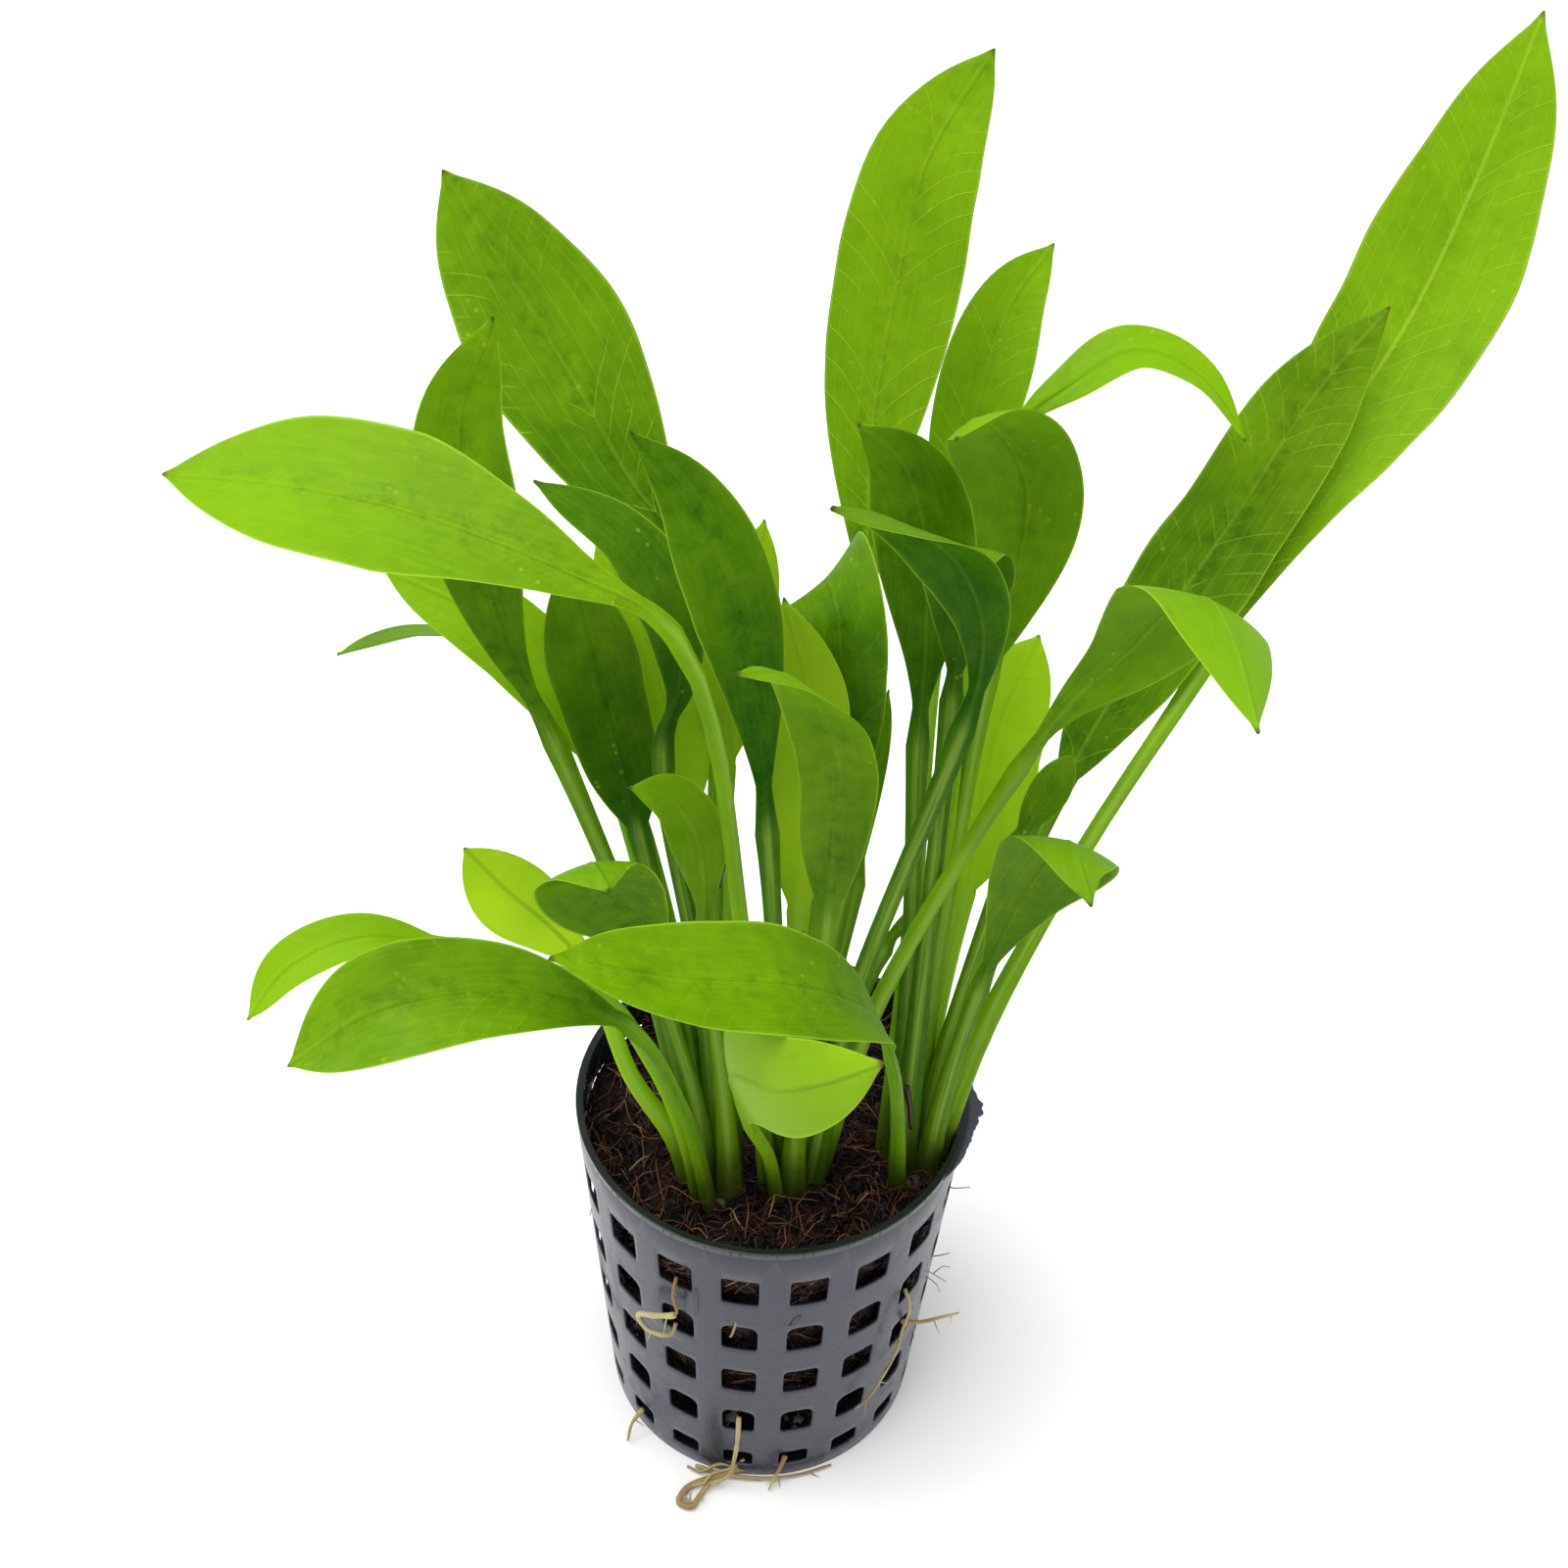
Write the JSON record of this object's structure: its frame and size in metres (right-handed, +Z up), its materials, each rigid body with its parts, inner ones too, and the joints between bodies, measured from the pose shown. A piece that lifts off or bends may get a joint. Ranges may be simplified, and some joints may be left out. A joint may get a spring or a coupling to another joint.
{
  "type": "potted echinodorus",
  "caption": "Rosette water plant with long-stalked lance-shaped green leaves, standing in a slotted tapered net pot of coir with a few pale roots.",
  "frame": {"origin": "centre of the pot's underside, on the surface that it stands on", "axes": "+Z up the pot's axis to the leaves, -Y towards the picture's camera, +X to the picture's right"},
  "size_m": [0.1532, 0.109, 0.1812],
  "materials": {
    "pot_plastic": "satin",
    "coir": "matte",
    "crown": "matte",
    "leaf": "satin",
    "root": "matte"
  },
  "bodies": {
    "root": {"pot": "pot_plastic", "coir_plug": "coir", "crown_left": "crown", "crown_middle": "crown", "crown_right": "crown", "leaf_left_long": "leaf", "leaf_front_folded": "leaf", "leaf_centre_folded": "leaf", "leaf_centre_arching": "leaf", "leaf_right_folded": "leaf", "leaf_centre_slim": "leaf", "leaf_centre_dark": "leaf", "leaf_upper_tall": "leaf", "leaf_centre_light": "leaf", "leaf_left_dark": "leaf", "leaf_young_slim": "leaf", "leaf_young_tip": "leaf", "leaf_front_left_low": "leaf", "leaf_far_left_small": "leaf", "leaf_left_yellow": "leaf", "leaf_left_upright": "leaf", "leaf_left_drooping": "leaf", "leaf_back_left_broad": "leaf", "leaf_behind_left": "leaf", "leaf_small_curled": "leaf", "leaf_left_curled": "leaf", "leaf_left_broad": "leaf", "leaf_left_back_light": "leaf", "leaf_left_bright": "leaf", "leaf_left_twisted": "leaf", "leaf_front_broad": "leaf", "leaf_right_low_folded": "leaf", "leaf_right_tallest": "leaf", "leaf_right_inner": "leaf", "leaf_right_small": "leaf", "leaf_right_light": "leaf", "leaf_right_arching": "leaf", "leaf_right_curled": "leaf", "leaf_upper_second": "leaf", "leaf_centre_tip_fold": "leaf", "leaf_centre_vertical": "leaf", "root_pale_loop": "root", "root_long": "root", "root_short": "root", "root_right": "root", "root_green": "root", "root_foot": "root", "root_left": "root"}
  },
  "joints": []
}
